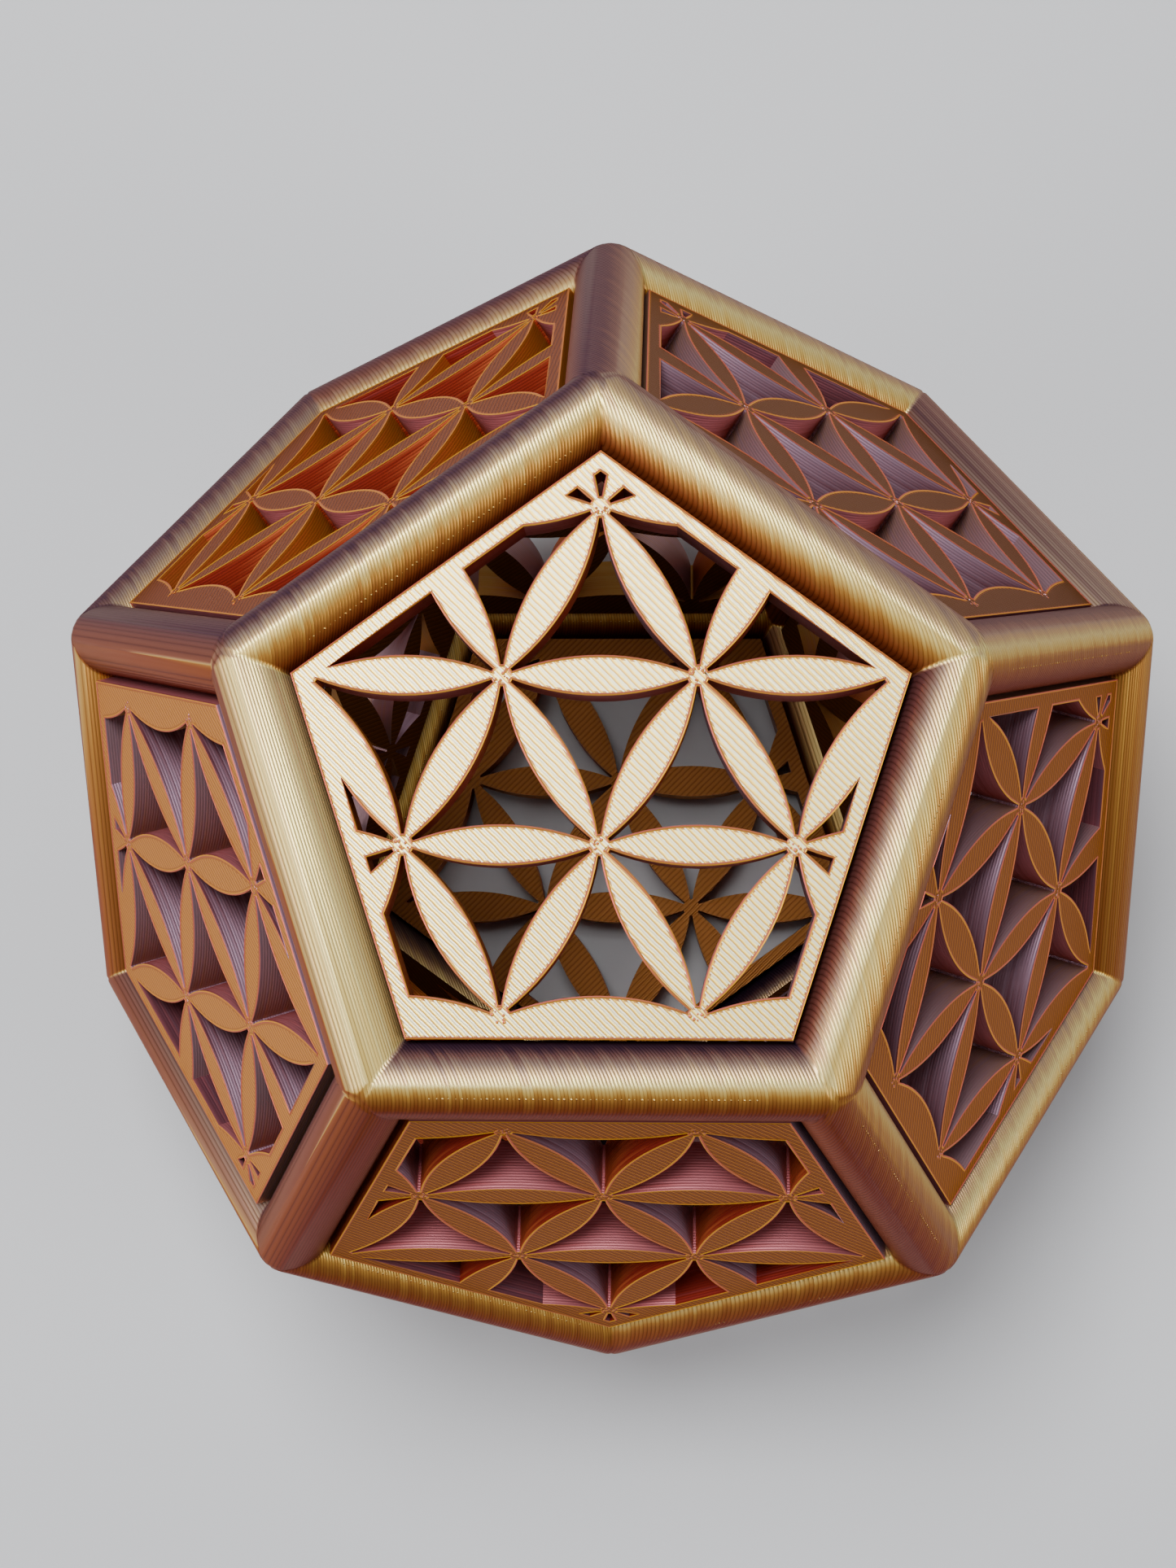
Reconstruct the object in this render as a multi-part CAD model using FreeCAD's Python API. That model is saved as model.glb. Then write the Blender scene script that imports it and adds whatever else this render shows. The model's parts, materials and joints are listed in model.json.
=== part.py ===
import FreeCAD, Part
import math
import os

# A dodecahedral cage: one printed frame of thirty round bars, and twelve thick lattice panels that are
# pushed into its pentagonal openings. It stands on the ring of bars round its lowest opening.
# Frame: origin under the middle of the cage, on the surface it stands on; +Z up through the middle of
# the top panel; +Y towards a corner of the top panel. Millimetres.

# The frame
EDGE = 56.0                 # along a bar, between the centres of the two corners it joins
BAR_DIAMETER = 10.0

# The panels
PANEL_THICKNESS = 7.0
PANEL_CLEARANCE = 0.15      # between a panel's edge and the middle of the bars beside it
RIM_WIDTH = 2.2
SMALLEST_HOLE = 0.6         # square millimetres; the nozzle closes anything smaller

# A panel's lattice: petals between neighbouring points of a net of equal triangles
LATTICE_PITCH = 24.8
LATTICE_DROP = 9.0          # its middle row of points, below the middle of the panel
LATTICE_ROWS = range(-2, 4)
LATTICE_COLUMNS = range(-3, 4)
PETAL_WIDTH = 5.2
HUB_RADIUS = 1.4            # the blob where six petals meet

# How each panel went in: the corner of the opening that the top of its lattice points at, counted as in
# list_openings, and how far its outer face stands above the plane of its bars' centre lines
PANEL_TURN = {"top": 0, "bottom": 2}
PANEL_TURN.update({"upper_1": 4, "upper_2": 2, "upper_3": 3, "upper_4": 2, "upper_5": 2})
PANEL_TURN.update({"lower_1": 3, "lower_2": 2, "lower_3": 4, "lower_4": 2, "lower_5": 3})
PANEL_STAND = {"top": 3.6, "bottom": 3.0}
PANEL_STAND.update({"upper_1": 2.8, "upper_2": 3.9, "upper_3": 3.4, "upper_4": 2.5, "upper_5": 2.4})
PANEL_STAND.update({"lower_1": 3.2, "lower_2": 2.8, "lower_3": 3.4, "lower_4": 3.0, "lower_5": 2.6})

# A regular dodecahedron's own measures, from its edge
SIDES = 5
TURN = 2 * math.pi / SIDES
GOLDEN = (1 + math.sqrt(5)) / 2
CORNER_RADIUS = EDGE / (2 * math.sin(TURN / 2))         # from an opening's middle to its corners
OPENING_APOTHEM = EDGE / (2 * math.tan(TURN / 2))       # from an opening's middle to its bars' centre lines
OPENING_DISTANCE = CORNER_RADIUS * GOLDEN ** 2 / 2      # from the cage's middle to an opening's
WAIST_HEIGHT = OPENING_DISTANCE - CORNER_RADIUS         # the waist's corners, above and below the middle

BAR_RADIUS = BAR_DIAMETER / 2
CAGE_MIDDLE = FreeCAD.Vector(0, 0, OPENING_DISTANCE + BAR_RADIUS)
PANEL_APOTHEM = OPENING_APOTHEM - BAR_RADIUS - PANEL_CLEARANCE
LATTICE_ROW_PITCH = LATTICE_PITCH * math.sin(math.pi / 3)
MITRE_REACH = 1.5           # how far the wedge that mitres a bar runs past it, as a multiple
SAME_POINT = 1e-6           # two corners closer than this are one


def corner_ring(radius, height, first_angle):
    """Five corners in a level ring, anticlockwise seen from above."""
    ring = []
    for step in range(SIDES):
        angle = first_angle + step * TURN
        around = FreeCAD.Vector(radius * math.cos(angle), radius * math.sin(angle), height)
        ring.append(CAGE_MIDDLE + around)
    return ring


TOP_RING = corner_ring(CORNER_RADIUS, OPENING_DISTANCE, math.pi / 2)
UPPER_RING = corner_ring(CORNER_RADIUS * GOLDEN, WAIST_HEIGHT, math.pi / 2)
LOWER_RING = corner_ring(CORNER_RADIUS * GOLDEN, -WAIST_HEIGHT, math.pi / 2 + TURN / 2)
BOTTOM_RING = corner_ring(CORNER_RADIUS, -OPENING_DISTANCE, math.pi / 2 + TURN / 2)


def list_openings():
    """Each opening's name and its five corners, in order round it."""
    openings = {"top": TOP_RING, "bottom": BOTTOM_RING}
    for i in range(SIDES):
        after = (i + 1) % SIDES
        before = (i - 1) % SIDES
        openings["upper_%d" % (i + 1)] = [
            TOP_RING[i], TOP_RING[after], UPPER_RING[after], LOWER_RING[i], UPPER_RING[i]]
        openings["lower_%d" % (i + 1)] = [
            BOTTOM_RING[before], BOTTOM_RING[i], LOWER_RING[i], UPPER_RING[i], LOWER_RING[before]]
    return openings


def list_bars():
    """Each bar's name and the two corners it joins."""
    bars = {}
    for i in range(SIDES):
        after = (i + 1) % SIDES
        bars["top_bar_%d" % (i + 1)] = [TOP_RING[i], TOP_RING[after]]
        bars["upper_bar_%d" % (i + 1)] = [TOP_RING[i], UPPER_RING[i]]
        bars["waist_bar_%d" % (2 * i + 1)] = [UPPER_RING[i], LOWER_RING[i]]
        bars["waist_bar_%d" % (2 * i + 2)] = [LOWER_RING[i], UPPER_RING[after]]
        bars["lower_bar_%d" % (i + 1)] = [LOWER_RING[i], BOTTOM_RING[i]]
        bars["bottom_bar_%d" % (i + 1)] = [BOTTOM_RING[i], BOTTOM_RING[after]]
    return bars


def mean_point(points):
    total = FreeCAD.Vector(0, 0, 0)
    for point in points:
        total = total + point
    return total * (1.0 / len(points))


def round_bar(start, end):
    """A round bar with ball ends: half its outline, turned about its centre line."""
    length = (end - start).Length
    tail = FreeCAD.Vector(0, 0, -BAR_RADIUS)
    tip = FreeCAD.Vector(0, 0, length + BAR_RADIUS)
    side_low = FreeCAD.Vector(BAR_RADIUS, 0, 0)
    side_high = FreeCAD.Vector(BAR_RADIUS, 0, length)
    bulge = BAR_RADIUS * math.sqrt(0.5)
    low_ball = Part.Arc(tail, FreeCAD.Vector(bulge, 0, -bulge), side_low)
    high_ball = Part.Arc(side_high, FreeCAD.Vector(bulge, 0, length + bulge), tip)
    straight = Part.LineSegment(side_low, side_high)
    centre_line = Part.LineSegment(tip, tail)
    outline = [low_ball.toShape(), straight.toShape(), high_ball.toShape(), centre_line.toShape()]
    bar = Part.Face(Part.Wire(outline)).revolve(FreeCAD.Vector(0, 0, 0), FreeCAD.Vector(0, 0, 1), 360)
    bar.Placement = FreeCAD.Placement(start, FreeCAD.Rotation(FreeCAD.Vector(0, 0, 1), end - start))
    return bar


def mitre_wedge(start, end, openings):
    """The wedge of space nearest one bar. Its sides pass through the cage's middle, the bar's two corners
    and the middles of the two openings beside it, so three bars meet at a corner face to face."""
    beside = []
    for corners in openings.values():
        nearest_end = [min((c - start).Length, (c - end).Length) for c in corners]
        if sum(distance < SAME_POINT for distance in nearest_end) == 2:
            beside.append(mean_point(corners))
    crown = (mean_point([start, end]) - CAGE_MIDDLE) * MITRE_REACH
    base = []
    for point in (start, beside[0], end, beside[1]):
        ray = point - CAGE_MIDDLE
        base.append(CAGE_MIDDLE + ray * (crown.dot(crown) / crown.dot(ray)))
    faces = [Part.Face(Part.makePolygon(base + base[:1]))]
    for i in range(len(base)):
        side = [CAGE_MIDDLE, base[i], base[(i + 1) % len(base)], CAGE_MIDDLE]
        faces.append(Part.Face(Part.makePolygon(side)))
    return Part.Solid(Part.Shell(faces))


def pentagon(apothem):
    """A pentagon's outline in the XY plane, one corner on +Y."""
    radius = apothem / math.cos(TURN / 2)
    corners = []
    for step in range(SIDES + 1):
        angle = math.pi / 2 + step * TURN
        corners.append(FreeCAD.Vector(radius * math.cos(angle), radius * math.sin(angle), 0))
    return Part.makePolygon(corners)


def petal(start, end):
    """A flat lens between two points, of two equal arcs."""
    middle = (start + end) * 0.5
    along = end - start
    across = FreeCAD.Vector(-along.y, along.x, 0).normalize() * (PETAL_WIDTH / 2)
    left = Part.Arc(start, middle + across, end).toShape()
    right = Part.Arc(end, middle - across, start).toShape()
    return Part.Face(Part.Wire([left, right]))


def lattice_shapes():
    """Every petal and hub that reaches the panel, as flat faces."""
    reach = PANEL_APOTHEM / math.cos(TURN / 2)
    shapes = []
    for row in LATTICE_ROWS:
        for column in LATTICE_COLUMNS:
            x = (column + 0.5 * (row % 2)) * LATTICE_PITCH
            point = FreeCAD.Vector(x, row * LATTICE_ROW_PITCH - LATTICE_DROP, 0)
            if point.Length < reach:
                hub = Part.makeCircle(HUB_RADIUS, point)
                shapes.append(Part.Face(Part.Wire([hub])))
            for angle in (0, math.pi / 3, 2 * math.pi / 3):
                step = FreeCAD.Vector(math.cos(angle), math.sin(angle), 0) * LATTICE_PITCH
                if min(point.Length, (point + step).Length) < reach:
                    shapes.append(petal(point, point + step))
    return shapes


def panel_plate():
    """One panel lying flat, outer face up in the plane z = 0, the top of its lattice towards +Y."""
    outline = Part.Face(pentagon(PANEL_APOTHEM))
    rim = outline.cut(Part.Face(pentagon(PANEL_APOTHEM - RIM_WIDTH)))
    shapes = lattice_shapes()
    lattice = shapes[0].fuse(shapes[1:])
    flat = Part.Shell(rim.fuse(outline.common(lattice)).Faces).removeSplitter()
    face = flat.Faces[0]
    wires = [face.OuterWire]
    for wire in face.Wires:
        if not wire.isSame(face.OuterWire) and Part.Face(wire).Area > SMALLEST_HOLE:
            wires.append(wire)
    return Part.Face(wires).extrude(FreeCAD.Vector(0, 0, -PANEL_THICKNESS))


def place_panel(plate, corners, turn, stand):
    """The panel turned so that its lattice points at a corner of its opening, and pushed in that far."""
    middle = mean_point(corners)
    outward = (middle - CAGE_MIDDLE).normalize()
    upward = (corners[turn] - middle).normalize()
    sideways = upward.cross(outward)
    rotation = FreeCAD.Rotation(sideways, upward, outward, "ZYX")
    panel = plate.copy()
    panel.Placement = FreeCAD.Placement(middle + outward * stand, rotation)
    return panel


os.makedirs("parts", exist_ok=True)
openings = list_openings()

for name, (start, end) in list_bars().items():
    bar = round_bar(start, end).common(mitre_wedge(start, end, openings))
    bar.exportStep("parts/%s.step" % name)

plate = panel_plate()
for name, corners in openings.items():
    panel = place_panel(plate, corners, PANEL_TURN[name], PANEL_STAND[name])
    panel.exportStep("parts/%s_panel.step" % name)
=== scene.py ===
import json
import math
import random
import bmesh
import bpy
from mathutils import Matrix, Vector


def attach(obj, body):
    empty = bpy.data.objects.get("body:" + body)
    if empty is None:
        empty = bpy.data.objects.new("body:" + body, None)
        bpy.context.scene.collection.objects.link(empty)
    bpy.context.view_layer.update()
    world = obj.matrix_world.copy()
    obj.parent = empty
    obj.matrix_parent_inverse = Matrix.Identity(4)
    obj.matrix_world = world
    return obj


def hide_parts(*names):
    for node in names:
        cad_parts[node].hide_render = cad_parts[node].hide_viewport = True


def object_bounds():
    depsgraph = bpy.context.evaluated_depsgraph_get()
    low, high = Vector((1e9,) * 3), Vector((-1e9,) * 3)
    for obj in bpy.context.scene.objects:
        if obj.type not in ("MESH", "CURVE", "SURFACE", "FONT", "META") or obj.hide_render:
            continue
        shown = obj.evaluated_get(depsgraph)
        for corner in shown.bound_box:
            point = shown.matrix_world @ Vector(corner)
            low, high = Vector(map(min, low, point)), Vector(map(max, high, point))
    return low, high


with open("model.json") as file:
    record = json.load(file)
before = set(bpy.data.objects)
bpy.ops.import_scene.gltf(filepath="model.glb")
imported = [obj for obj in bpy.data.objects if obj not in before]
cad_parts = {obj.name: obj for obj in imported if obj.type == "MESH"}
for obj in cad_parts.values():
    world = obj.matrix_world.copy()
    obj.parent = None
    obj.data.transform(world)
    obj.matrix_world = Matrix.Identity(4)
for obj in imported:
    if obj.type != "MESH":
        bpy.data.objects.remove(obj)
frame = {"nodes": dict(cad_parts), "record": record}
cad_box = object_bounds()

# The camera: nearly straight down over the cage, held a little towards -Y, with the cage's +Y up.
# Its right and up are squared to each other before use, because they are rounded to five figures.
CAMERA_PLACE = Vector((0.00917, -0.02884, 0.48393))
CAMERA_RIGHT = Vector((0.99954, 0.00399, -0.02994))
CAMERA_UP = Vector((-0.00163, 0.99692, 0.07836))
CAMERA_LENS = 64.17         # millimetres, on a sensor 36 mm along its longer side

camera_data = bpy.data.cameras.new("camera")
camera_data.sensor_fit = "VERTICAL"
camera_data.sensor_height = 36.0
camera_data.lens = CAMERA_LENS
camera_data.clip_start = 0.01
camera = bpy.data.objects.new("camera", camera_data)
back = CAMERA_RIGHT.cross(CAMERA_UP).normalized()
up = back.cross(CAMERA_RIGHT).normalized()
camera.matrix_world = Matrix.Translation(CAMERA_PLACE) @ Matrix(
    (CAMERA_RIGHT.normalized(), up, back)).transposed().to_4x4()
bpy.context.scene.collection.objects.link(camera)
bpy.context.scene.camera = camera


# The frame: one print of thirty round bars, 10 mm thick, that meet in mitred corners rounded to a ball.
# It is silk PLA, spun from three colours side by side, printed lying on one of its openings. Each wall
# shows the colour on the side of the filament that faces out there, so colour turns with direction.
EDGE = 0.056
BAR_RADIUS = 0.005
SIDES = 5
TURN = 2 * math.pi / SIDES
GOLDEN = (1 + math.sqrt(5)) / 2
CORNER_RADIUS = EDGE / (2 * math.sin(TURN / 2))
OPENING_APOTHEM = EDGE / (2 * math.tan(TURN / 2))
OPENING_DISTANCE = CORNER_RADIUS * GOLDEN ** 2 / 2
WAIST_HEIGHT = OPENING_DISTANCE - CORNER_RADIUS
MIDDLE = Vector((0, 0, OPENING_DISTANCE + BAR_RADIUS))
BAR_SEGMENTS = 40           # round the bar; a multiple of four, so that the mitres meet point to point
BALL_STEPS = 4              # rings over the ball end of a bar
CREASE_WIDTH = 0.0005       # the shallow crease left where two bars' layers meet
CREASE_DEPTH = 0.00012


def corner_ring(radius, height, first_angle):
    """Five corners in a level ring, anticlockwise seen from above."""
    ring = []
    for step in range(SIDES):
        angle = first_angle + step * TURN
        ring.append(MIDDLE + Vector((radius * math.cos(angle), radius * math.sin(angle), height)))
    return ring


top_ring = corner_ring(CORNER_RADIUS, OPENING_DISTANCE, math.pi / 2)
upper_ring = corner_ring(CORNER_RADIUS * GOLDEN, WAIST_HEIGHT, math.pi / 2)
lower_ring = corner_ring(CORNER_RADIUS * GOLDEN, -WAIST_HEIGHT, math.pi / 2 + TURN / 2)
bottom_ring = corner_ring(CORNER_RADIUS, -OPENING_DISTANCE, math.pi / 2 + TURN / 2)

bars = []
for i in range(SIDES):
    after = (i + 1) % SIDES
    bars += [(top_ring[i], top_ring[after]), (top_ring[i], upper_ring[i])]
    bars += [(upper_ring[i], lower_ring[i]), (lower_ring[i], upper_ring[after])]
    bars += [(lower_ring[i], bottom_ring[i]), (bottom_ring[i], bottom_ring[after])]

openings = {"top": top_ring, "bottom": bottom_ring}
for i in range(SIDES):
    after = (i + 1) % SIDES
    before = (i - 1) % SIDES
    openings["upper_%d" % (i + 1)] = [
        top_ring[i], top_ring[after], upper_ring[after], lower_ring[i], upper_ring[i]]
    openings["lower_%d" % (i + 1)] = [
        bottom_ring[before], bottom_ring[i], lower_ring[i], upper_ring[i], lower_ring[before]]


def mean_point(points):
    return sum(points, Vector()) / len(points)


def outward_of(opening):
    return (mean_point(openings[opening]) - MIDDLE).normalized()


PRINT_UP = outward_of("upper_2")
PRINT_FIRST = Vector((0, 0, 1)).cross(PRINT_UP).normalized()    # turns round the print start here
PRINT_SECOND = PRINT_UP.cross(PRINT_FIRST)                      # and are a quarter done here


def bar_mesh():
    """One bar about the origin, along X with its outer crest on +Z. Its ends lie on the mitre planes,
    which pass through the cage's middle, the corner and the middle of the opening beside it."""
    half = EDGE / 2
    middle_distance = (mean_point(bars[0]) - MIDDLE).length
    centre = Vector((0, 0, -middle_distance))
    corner = Vector((half, 0, 0)) - centre
    beside_angle = math.acos(OPENING_DISTANCE / middle_distance)
    beside = Vector((0, math.sin(beside_angle), math.cos(beside_angle)))
    mitre = corner.cross(beside)
    if mitre.x < 0:
        mitre.negate()

    def ring_end(angle):
        """How far the surface runs past the corner along this line of the bar, then round the ball."""
        around = Vector((0, abs(math.cos(angle)), math.sin(angle)))
        return -mitre.dot(around) / mitre.x

    def point(angle, radius, share, inset):
        across = Vector((0, math.cos(angle), math.sin(angle)))
        reach = ring_end(angle)
        straight = half + radius * min(reach, 0)
        if reach <= 0:
            return Vector((straight - inset, 0, 0)) + across * radius
        tilt = max(math.atan(reach) * share - inset / radius, 0)
        return Vector((half + radius * math.sin(tilt), 0, 0)) + across * radius * math.cos(tilt)

    profiles = [(BAR_RADIUS, step / BALL_STEPS, CREASE_WIDTH) for step in range(BALL_STEPS + 1)]
    profiles.append((BAR_RADIUS - CREASE_DEPTH, 1, 0))
    vertices = []
    for side in (-1, 1):
        rows = profiles[::-1] if side < 0 else profiles
        for radius, share, inset in rows:
            for k in range(BAR_SEGMENTS):
                place = point(k * 2 * math.pi / BAR_SEGMENTS, radius, share, inset)
                vertices.append((side * place.x, place.y, place.z))
    faces = []
    for row in range(2 * len(profiles) - 1):
        for k in range(BAR_SEGMENTS):
            a = row * BAR_SEGMENTS + k
            b = row * BAR_SEGMENTS + (k + 1) % BAR_SEGMENTS
            faces.append((a, b, b + BAR_SEGMENTS, a + BAR_SEGMENTS))
    mesh = bpy.data.meshes.new("bar")
    mesh.from_pydata(vertices, [], faces)
    mesh.update()
    return mesh


def srgb(code):
    """A six-digit sRGB colour as the linear colour that a shader takes."""
    channels = [int(code[i:i + 2], 16) / 255 for i in (0, 2, 4)]
    return tuple(c / 12.92 if c <= 0.04045 else ((c + 0.055) / 1.055) ** 2.4 for c in channels) + (1,)


def add_node(tree, kind, settings=(), **links):
    """A node with its settings and links. A link joins a socket, or a node's first output, to an input, or
    sets a plain value on it. An input is named, or is _0, _1 and so on where names repeat. A colour ramp's
    stops are a setting: a place from 0 to 1 and an sRGB code for each, the first at 0 and the last at 1."""
    node = tree.nodes.new(kind)
    for name, value in dict(settings).items():
        if name == "stops":
            elements = node.color_ramp.elements
            elements[0].color = srgb(value[0][1])
            elements[1].color = srgb(value[-1][1])
            for place, code in value[1:-1]:
                elements.new(place).color = srgb(code)
        else:
            setattr(node, name, value)
    for name, value in links.items():
        socket = node.inputs[int(name[1:])] if name[1:].isdigit() else node.inputs[name.replace("_", " ")]
        if isinstance(value, bpy.types.Node):
            value = value.outputs[0]
        if isinstance(value, bpy.types.NodeSocket):
            tree.links.new(value, socket)
        else:
            socket.default_value = value
    return node


def lines_up_to(tree, direction, pitch):
    """How many layers or lines lie between the cage's origin and a point, counted along a direction."""
    place = add_node(tree, "ShaderNodeTexCoord").outputs["Object"]
    reach = add_node(tree, "ShaderNodeVectorMath", {"operation": "DOT_PRODUCT"},
                     _0=place, _1=tuple(direction))
    return add_node(tree, "ShaderNodeMath", {"operation": "DIVIDE"}, _0=reach.outputs["Value"], _1=pitch)


def leaning(tree, direction, normal="Normal"):
    """How squarely a surface faces a direction: 1 towards it, 0 beside it, -1 away from it."""
    surface = add_node(tree, "ShaderNodeNewGeometry").outputs[normal]
    return add_node(tree, "ShaderNodeVectorMath", {"operation": "DOT_PRODUCT"},
                    _0=surface, _1=tuple(direction)).outputs["Value"]


def facing(tree, first, second):
    """How far round from the first direction towards the second a surface faces, as a share of a turn."""
    angle = add_node(tree, "ShaderNodeMath", {"operation": "ARCTAN2"},
                     _0=leaning(tree, second), _1=leaning(tree, first))
    share = add_node(tree, "ShaderNodeMath", {"operation": "DIVIDE"}, _0=angle, _1=2 * math.pi)
    raised = add_node(tree, "ShaderNodeMath", {"operation": "ADD"}, _0=share, _1=1.0)
    return add_node(tree, "ShaderNodeMath", {"operation": "FRACT"}, _0=raised)


def drifting(tree, turn, height, scale, amount):
    """A turn that wanders a little from layer to layer, still as a share of a turn."""
    layer = add_node(tree, "ShaderNodeMath", {"operation": "FLOOR"}, _0=height)
    wander = add_node(tree, "ShaderNodeTexNoise", {"noise_dimensions": "1D"}, W=layer, Scale=scale,
                      Detail=3.0)
    off = add_node(tree, "ShaderNodeMath", {"operation": "SUBTRACT"}, _0=wander.outputs["Fac"], _1=0.5)
    drift = add_node(tree, "ShaderNodeMath", {"operation": "MULTIPLY"}, _0=off, _1=amount)
    moved = add_node(tree, "ShaderNodeMath", {"operation": "ADD"}, _0=turn, _1=drift)
    raised = add_node(tree, "ShaderNodeMath", {"operation": "ADD"}, _0=moved, _1=1.0)
    return add_node(tree, "ShaderNodeMath", {"operation": "FRACT"}, _0=raised)


def from_middle(tree, count):
    """How far a point is from the middle of its layer or line: 0 there, and 0.5 on either edge."""
    share = add_node(tree, "ShaderNodeMath", {"operation": "FRACT"}, _0=count)
    off = add_node(tree, "ShaderNodeMath", {"operation": "SUBTRACT"}, _0=share, _1=0.5)
    return add_node(tree, "ShaderNodeMath", {"operation": "ABSOLUTE"}, _0=off)


def silk_sheen(shader, roughness, tint):
    """Silk PLA's satin sheen. Its tint keeps a pale floor from whitening the plastic at a low angle."""
    shader.inputs["Metallic"].default_value = SILK_METALLIC
    shader.inputs["Roughness"].default_value = roughness
    shader.inputs["IOR"].default_value = PLA_IOR
    shader.inputs["Specular Tint"].default_value = srgb(tint)


LAYER = 0.0004              # real layers are 0.2 mm, too fine to show; drawn twice as coarse
PLA_IOR = 1.46
SILK_METALLIC = 0.6
FRAME_ROUGHNESS = 0.36
FRAME_TINT = "D8A070"
FRAME_DRIFT = 0.07          # how far a layer's colour strays, as a share of a full turn
FRAME_DRIFT_SCALE = 0.37
JOIN_DISTANCE = 0.00002     # closer than this, points of neighbouring bars are one
FRAME_COLOURS = [           # round the print direction: copper, gold, purple, and back
    (0.0, "74341A"), (0.06, "702C12"), (0.11, "8A4A24"), (0.15, "A06A32"), (0.18, "C08C40"),
    (0.215, "E6C66E"), (0.25, "F0DE92"), (0.285, "CEAE7E"), (0.33, "A0887C"), (0.365, "7C5C5C"),
    (0.40, "50384A"), (0.46, "3A2A44"), (0.52, "3C2846"), (0.64, "4C2638"), (0.78, "84401C"),
    (0.90, "702A14"), (1.0, "74341A")]
UNDER_COLOUR = "8A7668"     # below the print, each layer overhangs the last and looks duller
TREAD_COLOUR = "A8643A"     # the tops of the layers, where a wall leans towards the print direction
TREAD_SHARE = [(0.0, "000000"), (0.55, "000000"), (0.85, "A0A0A0"), (1.0, "C0C0C0")]
HANG_SHARE = [(0.0, "000000"), (0.8, "A0A0A0"), (1.0, "A0A0A0")]
# painted shade: the layer colour is darkened towards the groove between two layers, where shade falls
LAYER_GROOVE_PAINTED_SHADE = [(0.0, "FFFFFF"), (0.7, "F0ECE8"), (1.0, "B8A8A0")]
FRAME_RELIEF = 0.45


def frame_plastic():
    """Silk PLA, printed in layers: a satin plastic with a metallic sheen that is brightest across the
    layer lines, whose colour slides from copper through gold to purple round the print."""
    material = bpy.data.materials.new("silk_pla_three_colour_printed")
    material.use_nodes = True
    tree = material.node_tree
    shader = tree.nodes["Principled BSDF"]
    height = lines_up_to(tree, PRINT_UP, LAYER)
    turn = drifting(tree, facing(tree, PRINT_FIRST, PRINT_SECOND), height, FRAME_DRIFT_SCALE, FRAME_DRIFT)
    colour = add_node(tree, "ShaderNodeValToRGB", {"stops": FRAME_COLOURS}, Fac=turn)
    rise = leaning(tree, PRINT_UP)
    tread = add_node(tree, "ShaderNodeValToRGB", {"stops": TREAD_SHARE}, Fac=rise)
    colour = add_node(tree, "ShaderNodeMix", {"data_type": "RGBA"},
                      _0=tread, _6=colour, _7=srgb(TREAD_COLOUR)).outputs[2]
    fall = add_node(tree, "ShaderNodeMath", {"operation": "MULTIPLY"}, _0=rise, _1=-1.0)
    hang = add_node(tree, "ShaderNodeValToRGB", {"stops": HANG_SHARE}, Fac=fall)
    colour = add_node(tree, "ShaderNodeMix", {"data_type": "RGBA"},
                      _0=hang, _6=colour, _7=srgb(UNDER_COLOUR)).outputs[2]

    # Painted shade: each layer's colour grows darker towards its edges, in the groove between layers; the
    # bump below gives the same grooves their relief.
    groove = add_node(tree, "ShaderNodeMath", {"operation": "MULTIPLY"},
                      _0=from_middle(tree, height), _1=2.0)
    layer_painted_shade = add_node(tree, "ShaderNodeValToRGB", {"stops": LAYER_GROOVE_PAINTED_SHADE}, Fac=groove)
    with_layer_painted_shade = add_node(tree, "ShaderNodeMix", {"data_type": "RGBA", "blend_type": "MULTIPLY"},
                      _0=1.0, _6=colour, _7=layer_painted_shade)
    tree.links.new(with_layer_painted_shade.outputs[2], shader.inputs["Base Color"])
    dip = add_node(tree, "ShaderNodeMath", {"operation": "POWER"}, _0=groove, _1=2.0)
    crown = add_node(tree, "ShaderNodeMath", {"operation": "SUBTRACT"}, _0=1.0, _1=dip)
    relief = add_node(tree, "ShaderNodeBump", Strength=FRAME_RELIEF, Distance=LAYER / 4, Height=crown)
    tree.links.new(relief.outputs["Normal"], shader.inputs["Normal"])
    silk_sheen(shader, FRAME_ROUGHNESS, FRAME_TINT)
    return material


def evaluated_mesh(source, name):
    """The result of an object's modifiers as a plain mesh object; the source is removed."""
    bpy.context.view_layer.update()
    mesh = bpy.data.meshes.new_from_object(source.evaluated_get(bpy.context.evaluated_depsgraph_get()))
    bpy.data.objects.remove(source)
    piece = bpy.data.objects.new(name, mesh)
    bpy.context.scene.collection.objects.link(piece)
    return piece


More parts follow.
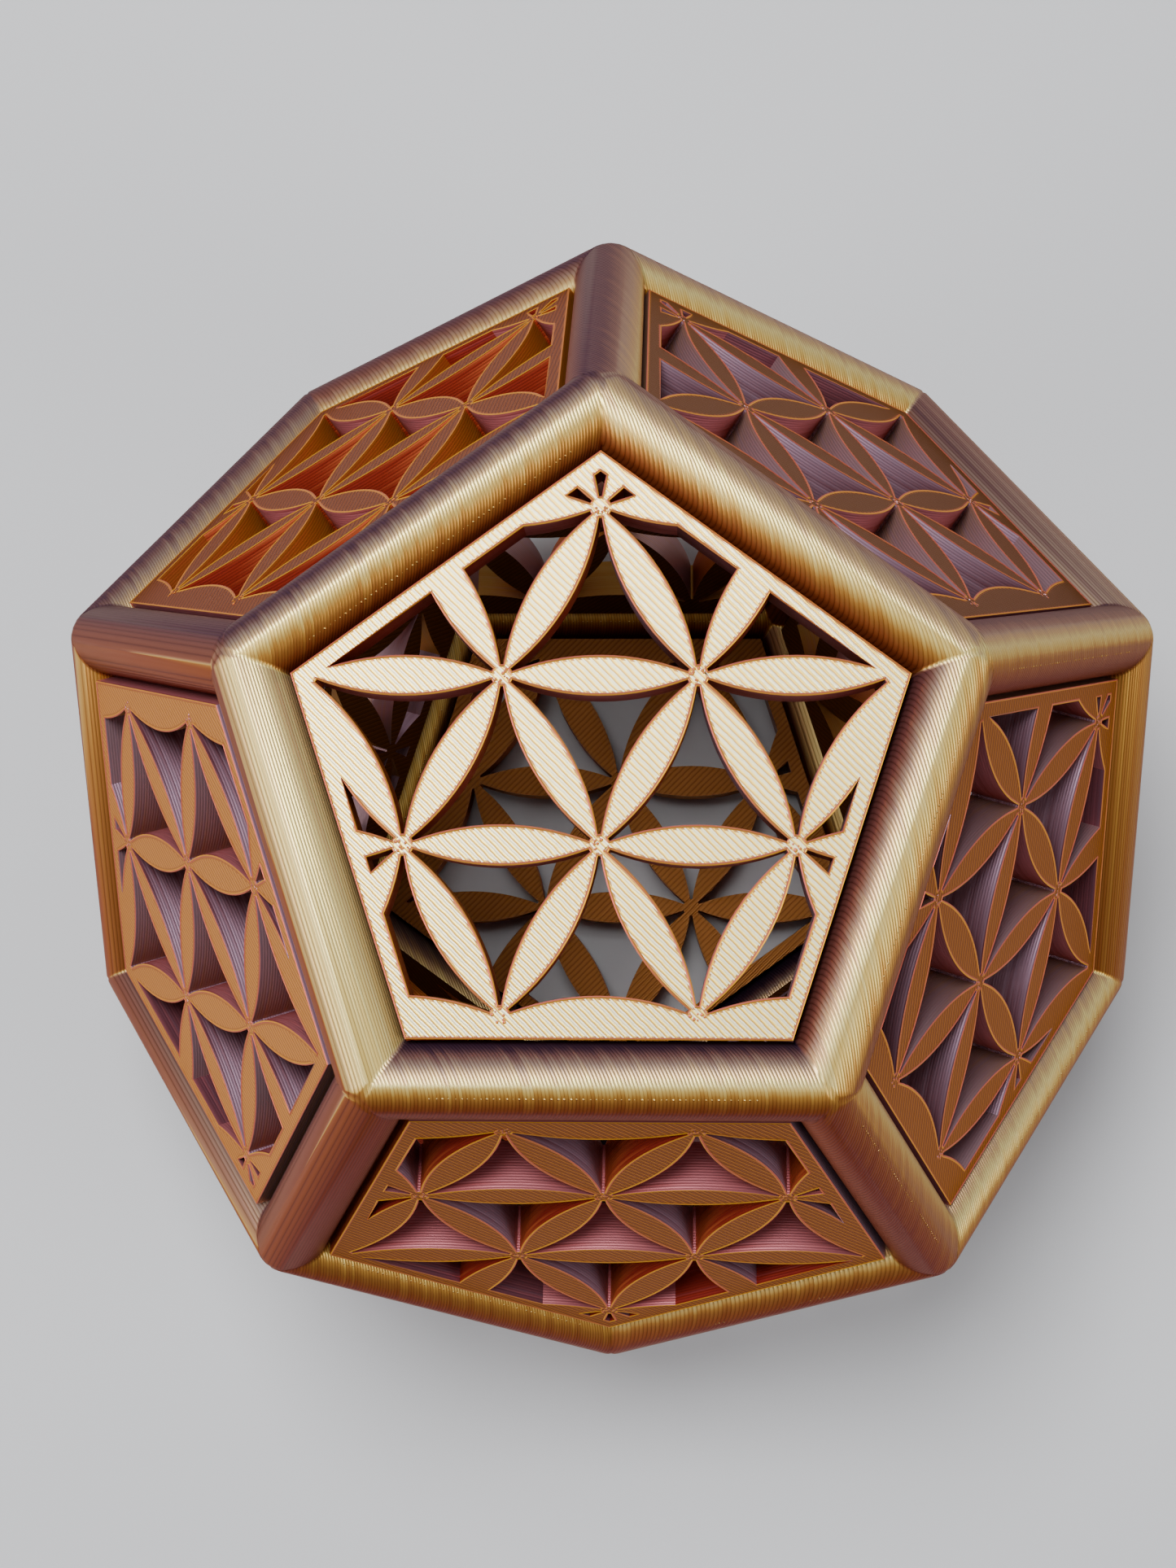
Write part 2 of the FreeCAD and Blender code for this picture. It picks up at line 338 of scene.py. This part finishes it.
def spread_tree(material):
    """Geometry nodes: a copy of one object at each point, turned to the point's own two directions,
    made real, joined where copies meet, and given its plastic."""
    tree = bpy.data.node_groups.new("spread", "GeometryNodeTree")
    face = tree.interface
    face.new_socket("Geometry", in_out="INPUT", socket_type="NodeSocketGeometry")
    face.new_socket("Copied object", in_out="INPUT", socket_type="NodeSocketObject")
    face.new_socket("Join distance", in_out="INPUT", socket_type="NodeSocketFloat")
    face.new_socket("Geometry", in_out="OUTPUT", socket_type="NodeSocketGeometry")
    given = tree.nodes.new("NodeGroupInput")
    vector = {"data_type": "FLOAT_VECTOR"}
    outward = add_node(tree, "GeometryNodeInputNamedAttribute", vector, Name="outward")
    along = add_node(tree, "GeometryNodeInputNamedAttribute", vector, Name="along")
    turned = add_node(tree, "FunctionNodeAxesToRotation", {"primary_axis": "Z", "secondary_axis": "X"},
                      Primary_Axis=outward.outputs[0], Secondary_Axis=along.outputs[0])
    size = add_node(tree, "GeometryNodeInputNamedAttribute", {"data_type": "FLOAT"}, Name="size")
    copied = add_node(tree, "GeometryNodeObjectInfo", Object=given.outputs["Copied object"])
    spread = add_node(tree, "GeometryNodeInstanceOnPoints", Points=given.outputs["Geometry"],
                      Instance=copied.outputs["Geometry"], Rotation=turned.outputs[0],
                      Scale=size.outputs[0])
    real = add_node(tree, "GeometryNodeRealizeInstances", Geometry=spread.outputs[0])
    joined = add_node(tree, "GeometryNodeMergeByDistance", Geometry=real.outputs[0],
                      Distance=given.outputs["Join distance"])
    painted = add_node(tree, "GeometryNodeSetMaterial", Geometry=joined.outputs[0], Material=material)
    out = tree.nodes.new("NodeGroupOutput")
    tree.links.new(painted.outputs[0], out.inputs[0])
    return tree


def set_input(modifier, name, value):
    for item in modifier.node_group.interface.items_tree:
        if item.name == name and item.in_out == "INPUT":
            modifier[item.identifier] = value


def spread(name, places, copied, material, join):
    """places is a list of (point, outward direction, direction along, size)."""
    mesh = bpy.data.meshes.new(name + "_points")
    mesh.from_pydata([p[0] for p in places], [], [])
    for title, column in (("outward", 1), ("along", 2)):
        values = mesh.attributes.new(title, "FLOAT_VECTOR", "POINT")
        values.data.foreach_set("vector", [c for p in places for c in p[column]])
    sizes = mesh.attributes.new("size", "FLOAT", "POINT")
    sizes.data.foreach_set("value", [p[3] for p in places])
    source = bpy.data.objects.new(name + "_points", mesh)
    bpy.context.scene.collection.objects.link(source)
    modifier = source.modifiers.new("spread", "NODES")
    modifier.node_group = spread_tree(material)
    set_input(modifier, "Copied object", copied)
    set_input(modifier, "Join distance", join)
    piece = evaluated_mesh(source, name)
    bpy.data.objects.remove(copied)
    return piece


one_bar = bpy.data.objects.new("one_bar", bar_mesh())
bpy.context.scene.collection.objects.link(one_bar)
bar_places = []
for start, end in bars:
    centre = mean_point([start, end])
    bar_places.append((centre, (centre - MIDDLE).normalized(), (end - start).normalized(), 1.0))
silk_frame = frame_plastic()
cage_frame = spread("cage_frame", bar_places, one_bar, silk_frame, JOIN_DISTANCE)
for polygon in cage_frame.data.polygons:
    polygon.use_smooth = True
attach(cage_frame, "frame")
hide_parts(*frame["record"]["behaviour"]["bodies"]["frame"])


# The seam: where each layer of a bar starts and ends, the nozzle leaves a small bead. The beads lie in a
# line along the same side of every bar that climbs through the layers. The bar whose line would run along
# the very top of the cage has none, so that nothing stands above the cage's box.
SEAM_PITCH = 0.0008
SEAM_BEAD = 0.00022         # a bead's radius
SEAM_FACING = math.radians(58)      # round the print direction
SEAM_MARGIN = 0.007         # from a bar's corners
LEVEL_BAR = 0.3             # a bar whose direction has less rise than this has no seam
SEAM_SINK = 0.25            # how deep a bead's middle lies in the bar, in bead radii
SEAM_STRAY = 0.0001         # how far a bead strays along the bar
SEAM_FLATNESS = 0.6
SMALLEST_BEAD = 0.5         # of the full size


def bead_object(radius, flatness):
    """A small drop of plastic, flattened onto the surface that it sits on."""
    mesh = bpy.data.meshes.new("bead")
    shape = bmesh.new()
    bmesh.ops.create_icosphere(shape, subdivisions=1, radius=radius)
    bmesh.ops.scale(shape, vec=(1, 1, flatness), verts=shape.verts)
    shape.to_mesh(mesh)
    shape.free()
    bead = bpy.data.objects.new("bead", mesh)
    bpy.context.scene.collection.objects.link(bead)
    return bead


seam_side = PRINT_FIRST * math.cos(SEAM_FACING) + PRINT_SECOND * math.sin(SEAM_FACING)
dice = random.Random(5)
seam_places = []
for start, end in bars:
    along = (end - start).normalized()
    if abs(along.dot(PRINT_UP)) < LEVEL_BAR:
        continue
    side = (seam_side - along * seam_side.dot(along)).normalized()
    for step in range(int((EDGE - 2 * SEAM_MARGIN) / SEAM_PITCH)):
        reach = SEAM_MARGIN + step * SEAM_PITCH + dice.uniform(-SEAM_STRAY, SEAM_STRAY)
        place = start + along * reach + side * (BAR_RADIUS - SEAM_BEAD * SEAM_SINK)
        size = dice.uniform(SMALLEST_BEAD, 1.0)
        if place.z < cad_box[1][2] - SEAM_BEAD:
            seam_places.append((place, side, along, size))
seam = spread("seam_beads", seam_places, bead_object(SEAM_BEAD, SEAM_FLATNESS), silk_frame, 0.0)
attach(seam, "frame")


# The panels: twelve lattice plates, 7 mm thick, pushed into the openings, each in silk PLA printed flat
# with its outer face up. The skin's lines lie at 45 degrees. The first line that the nozzle lays round
# every hole and round the rim stands a little proud, one flank salmon and the other gold.
SKIN_PITCH = 0.00075        # a pair of skin lines, which lie 0.377 mm apart
PANEL_LAYER = 0.0004        # real layers are 0.2 mm; drawn twice as coarse
SKIN_TILT = math.radians(45)
BEAD_RISE = 0.00008
BEAD_RINGS = [              # width, rise, and zone: the bead's two flanks, then where the skin lines turn
    (0.00018, BEAD_RISE, 1.0), (0.00018, -BEAD_RISE, 2.0), (0.00022, 0.0, 3.0)]
SHARP = math.radians(20)
SAME_POINT = 1e-6
OUTER_FACE = 0.999          # a face belongs to the skin if it faces outward by more than this
LEVEL_FACE = 0.97           # skin or underside, not a bead's flank
WALL_FACE = 0.5             # walls face outward by less than this; the underside, by less than minus this
WAVER_SCALE = 700.0         # the skin lines waver a little
WAVER = 0.3
STITCH_ZONE = 2.5           # where the skin lines turn, each leaves a stitch
STITCH_WIDTH = 0.22
STITCH_SHARE = 0.85
STITCH_HEIGHT = 0.8
PANEL_DRIFT = 0.12
PANEL_DRIFT_SCALE = 0.41
PANEL_ROUGHNESS = 0.38
PANEL_TINT = "D89A48"
PANEL_RELIEF = 0.5

PANEL_TURN = {"top": 0, "bottom": 2}
PANEL_TURN.update({"upper_1": 4, "upper_2": 2, "upper_3": 3, "upper_4": 2, "upper_5": 2})
PANEL_TURN.update({"lower_1": 3, "lower_2": 2, "lower_3": 4, "lower_4": 2, "lower_5": 3})

# Each skin's colours across a pair of lines: gold line, its crest with a painted highlight, lilac line, the
# groove with painted shade
# All panels are one gold filament, the amber skin. The cream skin and the tan one are lighter copies of it,
# painted light where more light falls; the brown and olive ones are darker copies, painted shade.
CREAM_PAINTED_LIGHT = ("F0BE3C", "FFE98C", "E9E0BC", "A67C50")
TAN_PAINTED_LIGHT = ("C07A20", "E0A44C", "C48650", "864A18")
AMBER = ("8E5200", "B07206", "865008", "502A00")
BROWN_PAINTED_SHADE = ("703A00", "8C4E08", "703C0C", "402002")
OLIVE_PAINTED_SHADE = ("5A3800", "704C06", "5A3C08", "342400")
# Which panels take a painted lit or shaded copy of the skin instead of the plain amber
SKINS_PAINTED_LIGHT_AND_SHADE = {"top": CREAM_PAINTED_LIGHT, "upper_1": BROWN_PAINTED_SHADE, "upper_2": TAN_PAINTED_LIGHT, "upper_5": OLIVE_PAINTED_SHADE}

WALL_COLOURS = [            # round a panel from its right: salmon, gold, lavender, pink, red
    (0.0, "B85430"), (0.12, "B06A28"), (0.27, "BC8C4C"), (0.40, "A08084"), (0.55, "A4889C"),
    (0.64, "70424E"), (0.75, "C87880"), (0.84, "942E26"), (0.91, "9E3424"),
    (0.96, "D46A3E"), (1.0, "B85430")]
BEAD_COLOURS = [            # the bead's flank, round a panel from its right
    (0.0, "D89830"), (0.14, "CE8444"), (0.28, "C4685A"), (0.55, "C86456"), (0.68, "CE8444"),
    (0.80, "DC9C2C"), (1.0, "D89830")]
STITCH_COLOUR = "9A5A1E"
UNDERSIDE = [(0.0, "5A3418"), (0.3, "7A4C26"), (0.8, "6E4424"), (1.0, "5A3418")]


def panel_axes(opening):
    """A panel's right, up and outward, as its lattice lies."""
    corners = openings[opening]
    outward = outward_of(opening)
    upward = (corners[PANEL_TURN[opening]] - mean_point(corners)).normalized()
    return upward.cross(outward), upward, outward


def panel_plastic(opening):
    """Silk PLA printed flat: lines across the skin, a two-coloured bead at its edges, layers down its
    walls."""
    sideways, upward, outward = panel_axes(opening)
    material = bpy.data.materials.new("silk_pla_printed_flat_" + opening)
    material.use_nodes = True
    tree = material.node_tree
    shader = tree.nodes["Principled BSDF"]
    across = sideways * math.sin(SKIN_TILT) + upward * math.cos(SKIN_TILT)

    place = add_node(tree, "ShaderNodeTexCoord").outputs["Object"]
    noise = add_node(tree, "ShaderNodeTexNoise", Vector=place, Scale=WAVER_SCALE, Detail=2.0)
    waver = add_node(tree, "ShaderNodeMath", {"operation": "MULTIPLY"}, _0=noise.outputs["Fac"], _1=WAVER)
    line = add_node(tree, "ShaderNodeMath", {"operation": "ADD"},
                    _0=lines_up_to(tree, across, SKIN_PITCH), _1=waver)
    step = add_node(tree, "ShaderNodeMath", {"operation": "FRACT"}, _0=line)
    # A panel's skin: the plain amber, or a lighter or darker copy of it as painted light or shade
    gold, crest, lilac, groove_painted_shade = SKINS_PAINTED_LIGHT_AND_SHADE.get(opening, AMBER)
    # The crest stop is a painted highlight along each line, and the groove stops are painted shade between
    # lines.
    stops = [(0.0, groove_painted_shade), (0.12, gold), (0.40, crest), (0.55, lilac), (0.88, lilac),
             (1.0, groove_painted_shade)]
    skin = add_node(tree, "ShaderNodeValToRGB", {"stops": stops}, Fac=step)

    zone = add_node(tree, "ShaderNodeAttribute", {"attribute_name": "zone"}).outputs["Fac"]
    turning = add_node(tree, "ShaderNodeMath", {"operation": "GREATER_THAN"}, _0=zone, _1=STITCH_ZONE)
    stitch = add_node(tree, "ShaderNodeMath", {"operation": "LESS_THAN"},
                      _0=from_middle(tree, line), _1=STITCH_WIDTH)
    stitching = add_node(tree, "ShaderNodeMath", {"operation": "MULTIPLY"}, _0=turning, _1=stitch)
    share = add_node(tree, "ShaderNodeMath", {"operation": "MULTIPLY"}, _0=stitching, _1=STITCH_SHARE)
    skin = add_node(tree, "ShaderNodeMix", {"data_type": "RGBA"},
                    _0=share, _6=skin, _7=srgb(STITCH_COLOUR)).outputs[2]

    turn = facing(tree, sideways, upward)
    bead = add_node(tree, "ShaderNodeValToRGB", {"stops": BEAD_COLOURS}, Fac=turn)
    layer = lines_up_to(tree, outward, PANEL_LAYER)
    walls = add_node(tree, "ShaderNodeValToRGB", {"stops": WALL_COLOURS},
                     Fac=drifting(tree, turn, layer, PANEL_DRIFT_SCALE, PANEL_DRIFT))
    rise = leaning(tree, outward, "True Normal")
    on_wall = add_node(tree, "ShaderNodeMath", {"operation": "LESS_THAN"}, _0=rise, _1=WALL_FACE)
    edge = add_node(tree, "ShaderNodeMix", {"data_type": "RGBA"}, _0=on_wall, _6=bead, _7=walls)
    on_skin = add_node(tree, "ShaderNodeMath", {"operation": "GREATER_THAN"}, _0=rise, _1=LEVEL_FACE)
    colour = add_node(tree, "ShaderNodeMix", {"data_type": "RGBA"},
                      _0=on_skin, _6=edge.outputs[2], _7=skin)
    under = add_node(tree, "ShaderNodeMath", {"operation": "LESS_THAN"}, _0=rise, _1=-WALL_FACE)
    underside = add_node(tree, "ShaderNodeValToRGB", {"stops": UNDERSIDE}, Fac=step)
    colour = add_node(tree, "ShaderNodeMix", {"data_type": "RGBA"},
                      _0=under, _6=colour.outputs[2], _7=underside)
    tree.links.new(colour.outputs[2], shader.inputs["Base Color"])

    half_line = add_node(tree, "ShaderNodeMath", {"operation": "MULTIPLY"}, _0=line, _1=2.0)
    steepness = add_node(tree, "ShaderNodeMath", {"operation": "ABSOLUTE"}, _0=rise)
    level = add_node(tree, "ShaderNodeMath", {"operation": "GREATER_THAN"}, _0=steepness, _1=LEVEL_FACE)
    dip = add_node(tree, "ShaderNodeMix", {"data_type": "FLOAT"},
                   _0=level, _2=from_middle(tree, layer), _3=from_middle(tree, half_line))
    crown = add_node(tree, "ShaderNodeMath", {"operation": "SUBTRACT"}, _0=1.0, _1=dip)
    lump = add_node(tree, "ShaderNodeMath", {"operation": "MULTIPLY"}, _0=stitching, _1=STITCH_HEIGHT)
    height = add_node(tree, "ShaderNodeMath", {"operation": "ADD"}, _0=crown, _1=lump)
    relief = add_node(tree, "ShaderNodeBump", Strength=PANEL_RELIEF, Distance=PANEL_LAYER / 4,
                      Height=height)
    tree.links.new(relief.outputs["Normal"], shader.inputs["Normal"])
    silk_sheen(shader, PANEL_ROUGHNESS, PANEL_TINT)
    return material


def lattice_piece(opening, plastic):
    """A panel's solid with its perimeter bead raised round the rim and every hole of the outer face."""
    outward = outward_of(opening)
    shape = bmesh.new()
    shape.from_mesh(frame["nodes"][opening + "_panel"].data)
    bmesh.ops.remove_doubles(shape, verts=shape.verts, dist=SAME_POINT)
    zone = shape.faces.layers.float.new("zone")
    for width, rise, number in BEAD_RINGS:
        shape.normal_update()
        skin = [face for face in shape.faces if face.normal.dot(outward) > OUTER_FACE and face[zone] == 0]
        ring = bmesh.ops.inset_region(shape, faces=skin, thickness=width, depth=rise,
                                      use_boundary=True, use_even_offset=False)["faces"]
        for face in ring:
            face[zone] = number
    for face in shape.faces:
        face.smooth = True
        face.material_index = 0
    for edge in shape.edges:
        edge.smooth = edge.is_manifold and edge.calc_face_angle(0) < SHARP
    mesh = bpy.data.meshes.new(opening + "_lattice")
    shape.to_mesh(mesh)
    shape.free()
    mesh.materials.append(plastic)
    piece = bpy.data.objects.new(opening + "_lattice", mesh)
    bpy.context.scene.collection.objects.link(piece)
    return piece


panel_plastics = {}
for opening in openings:
    body = opening + "_panel"
    panel_plastics[opening] = panel_plastic(opening)
    lattice = lattice_piece(opening, panel_plastics[opening])
    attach(lattice, body)
    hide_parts(body)


# The hubs: where six petals meet, the nozzle stops and starts at each, and leaves a cluster of small
# rough drops of the panel's own plastic on its outer face.
LATTICE_PITCH = 0.0248
LATTICE_DROP = 0.009
LATTICE_ROWS = range(-2, 4)
LATTICE_COLUMNS = range(-3, 4)
HUB_INSET = 0.0015
HUB_SPREAD = 0.0010
HUB_DROPS = 9
HUB_DROP = 0.00030          # a drop's radius
HUB_FLATNESS = 0.4
PANEL_CLEARANCE = 0.00015
PANEL_APOTHEM = OPENING_APOTHEM - BAR_RADIUS - PANEL_CLEARANCE


def hub_points():
    """The lattice's own points that lie inside a panel, in its right and up."""
    points = []
    for row in LATTICE_ROWS:
        for column in LATTICE_COLUMNS:
            x = (column + 0.5 * (row % 2)) * LATTICE_PITCH
            y = row * LATTICE_PITCH * math.sin(math.pi / 3) - LATTICE_DROP
            sides = [-math.pi / 2 + k * TURN for k in range(SIDES)]
            depth = max(x * math.cos(a) + y * math.sin(a) for a in sides)
            if depth < PANEL_APOTHEM - HUB_INSET:
                points.append((x, y))
    return points


for opening in openings:
    body = opening + "_panel"
    sideways, upward, outward = panel_axes(opening)
    face_height = max(v.co.dot(outward) for v in frame["nodes"][body].data.vertices)
    middle = mean_point(openings[opening])
    middle = middle + outward * (face_height - middle.dot(outward))
    drops = []
    for x, y in hub_points():
        for number in range(HUB_DROPS):
            angle = dice.uniform(0, 2 * math.pi)
            away = HUB_SPREAD * math.sqrt(dice.random())
            place = middle + sideways * (x + away * math.cos(angle)) + upward * (y + away * math.sin(angle))
            turned = sideways * math.cos(angle) + upward * math.sin(angle)
            drops.append((place, outward, turned, dice.uniform(SMALLEST_BEAD, 1.0)))
    hub_drops = spread(opening + "_hub_drops", drops, bead_object(HUB_DROP, HUB_FLATNESS),
                       panel_plastics[opening], 0.0)
    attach(hub_drops, body)


# The studio: a plain pale floor, a broad soft light overhead and two weaker ones beside it, in a dim
# bluish surround.
HALF_FLOOR = 1.5
floor_mesh = bpy.data.meshes.new("floor")
floor_corners = [(x * HALF_FLOOR, y * HALF_FLOOR, 0) for x, y in ((-1, -1), (1, -1), (1, 1), (-1, 1))]
floor_mesh.from_pydata(floor_corners, [], [(0, 1, 2, 3)])
floor = bpy.data.objects.new("floor", floor_mesh)
bpy.context.scene.collection.objects.link(floor)
paint = bpy.data.materials.new("matt_paper")
paint.use_nodes = True
paint.node_tree.nodes["Principled BSDF"].inputs["Base Color"].default_value = srgb("D2D3D6")
paint.node_tree.nodes["Principled BSDF"].inputs["Roughness"].default_value = 0.8
floor_mesh.materials.append(paint)


def soft_light(name, place, size, power):
    data = bpy.data.lights.new(name, "AREA")
    data.shape = "DISK"
    data.size = size
    data.energy = power
    light = bpy.data.objects.new(name, data)
    light.location = place
    light.rotation_euler = (MIDDLE - Vector(place)).to_track_quat("-Z", "Y").to_euler()
    bpy.context.scene.collection.objects.link(light)


soft_light("overhead", (-0.12, 0.22, 0.9), 0.4, 9.5)
soft_light("left_side", (-0.8, -0.2, 0.5), 0.5, 3.5)
soft_light("right_side", (0.8, -0.3, 0.6), 0.5, 3.5)
world = bpy.data.worlds.new("studio")
world.use_nodes = True
world.node_tree.nodes["Background"].inputs["Color"].default_value = srgb("E6E8EE")
world.node_tree.nodes["Background"].inputs["Strength"].default_value = 0.22
bpy.context.scene.world = world
